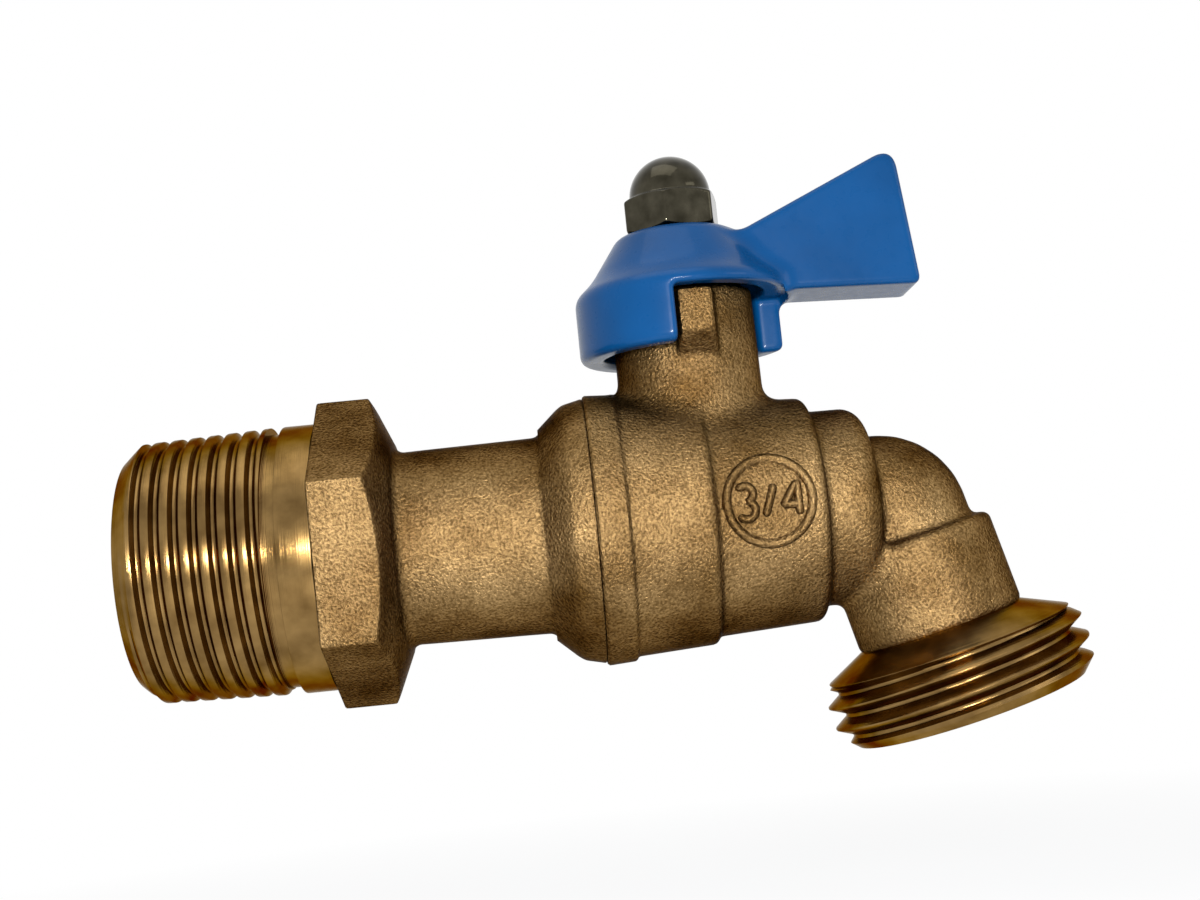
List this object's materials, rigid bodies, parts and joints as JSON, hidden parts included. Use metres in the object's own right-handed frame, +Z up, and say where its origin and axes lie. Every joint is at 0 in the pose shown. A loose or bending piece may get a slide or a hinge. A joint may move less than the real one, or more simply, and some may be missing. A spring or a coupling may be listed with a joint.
{
  "type": "ball hose bibb",
  "caption": "Quarter-turn brass garden tap: tapered male pipe inlet, ball valve, elbow to a male hose outlet, and a blue blade handle held by an acorn nut.",
  "frame": {"origin": "centre of the inlet end face, on the pipe axis", "axes": "+X along the pipe from the inlet towards the outlet, +Z up the stem, so that -Y is the side with the size ring and the stop lug"},
  "size_m": [0.0945, 0.0284, 0.0623],
  "materials": {
    "forged_brass": "shot-blasted forging",
    "connector_brass": "shot-blasted forging with turned thread",
    "turned_brass": "turned",
    "blue_enamel": "gloss enamel on a casting",
    "nut_chrome": "dark chrome",
    "ball_chrome": "polished chrome",
    "seat_plastic": "smooth white seat plastic",
    "packing_plastic": "smooth packing plastic",
    "seal_rubber": "moulded rubber"
  },
  "bodies": {
    "valve_body": {"body": "forged_brass", "inlet_connector": "connector_brass", "body_seal": "seal_rubber", "inlet_seat_ring": "seat_plastic", "outlet_seat_ring": "seat_plastic", "thrust_washer": "seat_plastic", "packing_ring_lower": "packing_plastic", "packing_ring_middle": "packing_plastic", "packing_ring_upper": "packing_plastic", "gland_nut": "turned_brass"},
    "handle_set": {"handle": "blue_enamel", "acorn_nut": "nut_chrome", "stem": "turned_brass", "ball": "ball_chrome"}
  },
  "joints": [
    {"name": "handle_turn", "type": "hinge", "parent": "valve_body", "child": "handle_set", "pos_m": [0.0569, 0, 0], "axis": [0, 0, -1], "range_deg": [0, 90]}
  ]
}
